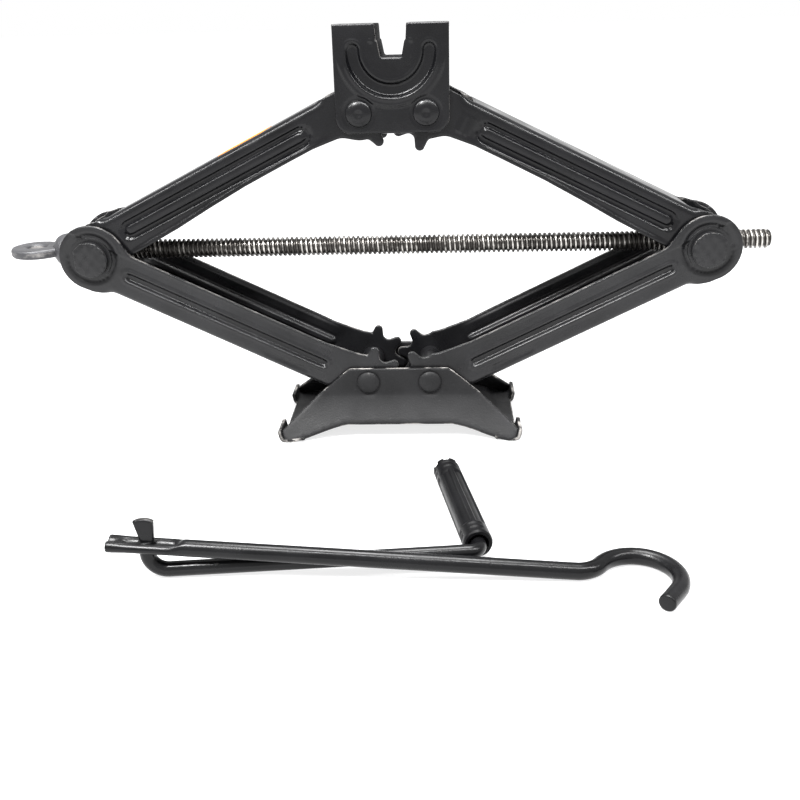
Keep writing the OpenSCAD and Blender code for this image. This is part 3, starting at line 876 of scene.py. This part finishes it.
def crank_eye():
    def place(u, v):
        pos = np.column_stack([-HALF_SPAN - u, v, np.full_like(u, TRUNNION_Z)])
        return pos, np.tile((0.0, 0.0, 1.0), (len(u), 1))
    parts = Parts()
    parts.add(*plate(eye_field, (22, 60, -17, 17), EYE_T, place, edge_r=2.1, grid=1.0,
                     spacing=0.5, step=0.25))

    def neck_radius(share, angle):
        wide = 6.2 + 1.6 * share
        tall = 6.0 - 3.4 * share ** 0.8
        return wide * tall / math.hypot(tall * math.cos(angle), wide * math.sin(angle))
    path = [(-HALF_SPAN - 25 - x, 0, TRUNNION_Z) for x in np.linspace(0, 11, 14)]
    parts.add(*tube(path, neck_radius, 36, 0.4))
    finish_piece(parts.build("forged_eye", 50), FORGED, "screw", "forged_steel", "crank_eye")


def thrust_collar():
    inner, half = COLLAR_FROM, COLLAR_R / 2
    rim = [(COLLAR_R - 0.6, inner), (COLLAR_R, inner + 0.6), (COLLAR_R, inner + COLLAR_RIM)]
    dome = [(half + half * math.cos(a), inner + COLLAR_RIM + COLLAR_DOME * math.sin(a))
            for a in np.radians(np.linspace(8, 78, 12))]
    verts, faces = lathe([(6.02, inner)] + rim + dome + [(6.02, inner + 14.4)], 64)
    place = axis_frame((-HALF_SPAN, 0, TRUNNION_Z), (-1, 0, 0), (0, 1, 0))
    piece = new_mesh("domed_collar", moved(verts, place), faces)
    finish_piece(piece, FORGED, "screw", "forged_steel", "thrust_collar")


# ------------------------------------------------------------------ handle
FOLD = joint("handle_fold")
GRIP = joint("grip_spin")
HINGE = Vector([value / MM for value in FOLD["pos_m"]])
PIN_DIR = Vector(FOLD["axis"]).normalized()
GRIP_START = Vector([value / MM for value in GRIP["pos_m"]])
GRIP_DIR = Vector(GRIP["axis"]).normalized()
HOOK_R = 4.2
CRANK_R = 3.8
HOOK_TOP_Z = 17.2
HOOK_REACH = 205.0
HOOK_YAW = math.radians(-0.8)
HOOK_IN, HOOK_OUT, HOOK_SWING, HOOK_TAIL, HOOK_END = 14.0, 19.5, 55.0, 13.0, -34.0
CHANNEL_BACK = 19.0
CHANNEL_END = 14.0
CRANK_YAW = math.radians(3.4)
CRANK_REACH = 154.5
CRANK_TURN = 5.5
LOW_TURN = 9.5
GRIP_LEN = 88.0
GRIP_R = 7.5


def hook_rod():
    slope = (HOOK_TOP_Z - HOOK_R) / HOOK_REACH
    points = [(x, 0, HOOK_TOP_Z - slope * x) for x in np.arange(-CHANNEL_BACK, CHANNEL_END + 8, 0.8)]
    points += [(x, 0, HOOK_TOP_Z - slope * x) for x in np.arange(CHANNEL_END + 10, HOOK_REACH - 4, 6.0)]
    points += [(x, y, HOOK_R) for x, y in arc_points(HOOK_REACH, HOOK_IN, HOOK_IN, -88, -90 + HOOK_SWING, 16)]
    curl_x = HOOK_REACH + (HOOK_IN + HOOK_OUT) * math.sin(math.radians(HOOK_SWING))
    curl_y = HOOK_IN - (HOOK_IN + HOOK_OUT) * math.cos(math.radians(HOOK_SWING))
    curl = arc_points(curl_x, curl_y, HOOK_OUT, 90 + HOOK_SWING - 3, HOOK_END, 60)
    points += [(x, y, HOOK_R) for x, y in curl]
    tail = math.radians(HOOK_END - 90)
    points += [(curl[-1][0] + t * math.cos(tail), curl[-1][1] + t * math.sin(tail), HOOK_R)
               for t in np.linspace(1.5, HOOK_TAIL, 8)]
    points = with_ends(points, 0.9)
    spans = np.linalg.norm(np.diff(np.array(points), axis=0), axis=1)
    total = spans.sum()

    def radius(share, angle):
        x = share * total - CHANNEL_BACK
        flat = smooth(CHANNEL_END + 5, CHANNEL_END - 3, x)
        mouth = smooth(-8, -17, x)
        wide = HOOK_R + 1.7 * flat
        tall = HOOK_R - 0.9 * flat + 0.5 * mouth
        r = wide * tall / math.hypot(tall * math.cos(angle), wide * math.sin(angle))
        away = abs((math.degrees(angle) - 90 + 180) % 360 - 180)
        pinch = math.exp(-((x + 11.5) / 4.0) ** 2)
        r -= (3.1 - 1.4 * pinch) * flat * math.exp(-(away / 38.0) ** 4)
        return r
    verts, faces = tube(points, radius, 36, 0.9)
    place = Matrix.Translation((HINGE.x, HINGE.y, 0)) @ Matrix.Rotation(HOOK_YAW, 4, "Z")
    rod = new_mesh("bent_hook_rod", moved(verts, place), faces, np.full(len(verts), 0.25))
    finish_piece(rod, HANDLE, "handle_hook", "handle_paint", "hook_rod")


def crank_rod():
    along = Vector((math.cos(CRANK_YAW), math.sin(CRANK_YAW), 0))
    along = (along - along.dot(PIN_DIR) * PIN_DIR).normalized()
    lean = along.angle(GRIP_DIR)
    points = [HINGE + PIN_DIR * z for z in np.linspace(16.5, LOW_TURN, 8)]
    for a in np.radians(np.linspace(8, 82, 12)):
        points.append(HINGE + along * LOW_TURN * (1 - math.cos(a)) + PIN_DIR * LOW_TURN * (1 - math.sin(a)))
    points += [HINGE + along * x for x in np.linspace(LOW_TURN, CRANK_REACH, 30)]
    side = PIN_DIR.cross(along)
    for a in np.linspace(0.1, lean, 12)[:-1]:
        ahead = along * (CRANK_REACH + CRANK_TURN * math.sin(a))
        points.append(HINGE + ahead + side * CRANK_TURN * (1 - math.cos(a)))
    points += [GRIP_START + GRIP_DIR * z for z in np.linspace(0, GRIP_LEN - 4, 18)]
    verts, faces = tube(with_ends(points, 0.8), lambda share, angle: CRANK_R, 28, 0.8, up=(0, 1, 0))
    parts = Parts()
    parts.add(verts, faces, np.full(len(verts), 0.25))

    def head_field(u, v):
        sides = polygon_field(u, v, [(-2.8, -3.0), (3.0, -3.0), (4.9, 14.0), (-6.4, 14.0)])
        return np.maximum(sides, disc(u, v, -0.5, 1.6, 10.0))

    def head_place(u, v):
        middle = np.array(HINGE + PIN_DIR * 16.6)[None, :]
        pos = middle + np.outer(u + 0.9, (1, 0, 0)) + np.outer(v, tuple(PIN_DIR))
        return pos, np.tile((0.0, -1.0, 0.0), (len(u), 1))
    parts.add(*plate(head_field, (-9, 9, -5, 14), 3.4, head_place, edge_r=1.1, grid=0.8,
                     spacing=0.5, step=0.25))
    finish_piece(parts.build("folding_crank"), HANDLE, "handle_crank", "handle_paint", "crank_rod")


def grip_sleeve():
    segments = 96
    bore = CRANK_R + 0.06
    zs = np.concatenate([[0, 0.25, 0.6], np.arange(1.2, GRIP_LEN - 1, 0.8),
                         [GRIP_LEN - 0.6, GRIP_LEN - 0.2, GRIP_LEN]])
    angles = 2 * np.pi * np.arange(segments) / segments
    zz, aa = np.meshgrid(zs, angles, indexing="ij")
    ribs = smooth(0.15, 0.75, np.cos(6 * aa))
    body = smooth(11, 13, zz) * smooth(GRIP_LEN - 15, GRIP_LEN - 17, zz)
    radius = GRIP_R - 0.9 * body * (1 - ribs)
    for mark in (5.0, 9.0, GRIP_LEN - 6.0, GRIP_LEN - 11.0):
        radius -= 0.7 * smooth(1.3, 0.6, np.abs(zz - mark)) * smooth(-0.5, 0.1, np.cos(4 * aa))
    radius -= 0.6 * (1 - smooth(0, 1.2, zz)) + 0.6 * (1 - smooth(0, 1.2, GRIP_LEN - zz))
    castle = smooth(GRIP_LEN - 3.4, GRIP_LEN - 3.0, zz) * smooth(0.1, 0.4, np.cos(6 * aa))
    radius -= 1.5 * castle
    outer = np.column_stack([(radius * np.cos(aa)).ravel(), (radius * np.sin(aa)).ravel(), zz.ravel()])
    verts = [outer]
    seat = 6.0
    inner_rings = [(seat, GRIP_LEN), (seat, GRIP_LEN - 7), (bore, GRIP_LEN - 7), (bore, 6.0),
                   (5.2, 5.0), (5.4, 0.0)]
    for r, z in inner_rings:
        verts.append(np.column_stack([r * np.cos(angles), r * np.sin(angles), np.full(segments, z)]))
    verts = np.vstack(verts)
    faces = ring_faces(list(range(len(zs) + len(inner_rings))) + [0], segments)
    place = axis_frame(GRIP_START + GRIP_DIR * 0.6, GRIP_DIR, (0, 0, 1))
    piece = new_mesh("ribbed_grip", moved(verts, place), faces)
    finish_piece(piece, PLASTIC, "handle_grip", "grip_plastic", "grip_sleeve")


saddle_piece()
base_piece()
rivets()
trunnion_faces()
lead_screw()
crank_eye()
thrust_collar()
hook_rod()
crank_rod()
grip_sleeve()


# ------------------------------------------------------------------ studio and camera, in metres
CAMERA_PLACE = (0.0268, -0.6056, 0.2492)
CAMERA_YAW = math.radians(2.64)
CAMERA_PITCH = math.radians(21.43)
CAMERA_ROLL = math.radians(-1.53)
CAMERA_LENS = 43.7
LIGHTS = (("key", (-0.45, -0.75, 1.15), (0.26, 0.26), 22),
          ("strip", (0.0, -0.55, 1.05), (2.8, 0.10), 44),
          ("top", (0.0, 0.15, 1.4), (0.55, 0.55), 30))


def studio():
    world = bpy.data.worlds.new("studio")
    bpy.context.scene.world = world
    world.use_nodes = True
    background = world.node_tree.nodes["Background"]
    background.inputs["Color"].default_value = (1, 1, 1, 1)
    background.inputs["Strength"].default_value = 1.0
    bpy.context.scene.view_settings.view_transform = "Standard"
    bpy.ops.mesh.primitive_plane_add(size=60, location=(0, 0, 0))
    floor = bpy.context.object
    floor.name = "floor"
    mat = bpy.data.materials.new("pale_floor")
    mat.use_nodes = True
    shader = mat.node_tree.nodes["Principled BSDF"]
    shader.inputs["Base Color"].default_value = (0.3, 0.3, 0.303, 1)
    shader.inputs["Roughness"].default_value = 0.8
    shader.inputs["Emission Color"].default_value = (1, 1, 1, 1)
    shader.inputs["Emission Strength"].default_value = 0.76
    floor.data.materials.append(mat)
    for name, place, size, power in LIGHTS:
        light = bpy.data.lights.new(name, "AREA")
        light.shape = "RECTANGLE"
        light.size, light.size_y = size
        light.energy = power
        lamp = bpy.data.objects.new(name, light)
        lamp.location = place
        lamp.rotation_euler = (Vector((0, 0, 0.1)) - Vector(place)).to_track_quat("-Z", "Y").to_euler()
        bpy.context.scene.collection.objects.link(lamp)


def camera():
    turn = Matrix.Rotation(CAMERA_YAW, 3, "Z") @ Matrix.Rotation(-CAMERA_PITCH, 3, "X")
    right, ahead, up = turn @ Vector((1, 0, 0)), turn @ Vector((0, 1, 0)), turn @ Vector((0, 0, 1))
    across = math.cos(CAMERA_ROLL) * right + math.sin(CAMERA_ROLL) * up
    upward = -math.sin(CAMERA_ROLL) * right + math.cos(CAMERA_ROLL) * up
    data = bpy.data.cameras.new("camera")
    data.sensor_width = 36
    data.lens = CAMERA_LENS
    data.clip_start = 0.01
    view = bpy.data.objects.new("camera", data)
    matrix = Matrix((across, upward, -ahead)).transposed().to_4x4()
    matrix.translation = Vector(CAMERA_PLACE)
    view.matrix_world = matrix
    bpy.context.scene.collection.objects.link(view)
    bpy.context.scene.camera = view


studio()
camera()
CAD_LOOKS = {"spacer": PAINT_LOWER, "washer": STEEL, "ball": STEEL, "label": LABEL, "trunnion": PAINT_LOWER}
for node, item in frame["nodes"].items():
    look = next((mat for word, mat in CAD_LOOKS.items() if word in node), PAINT)
    item.data.materials.clear()
    item.data.materials.append(look)
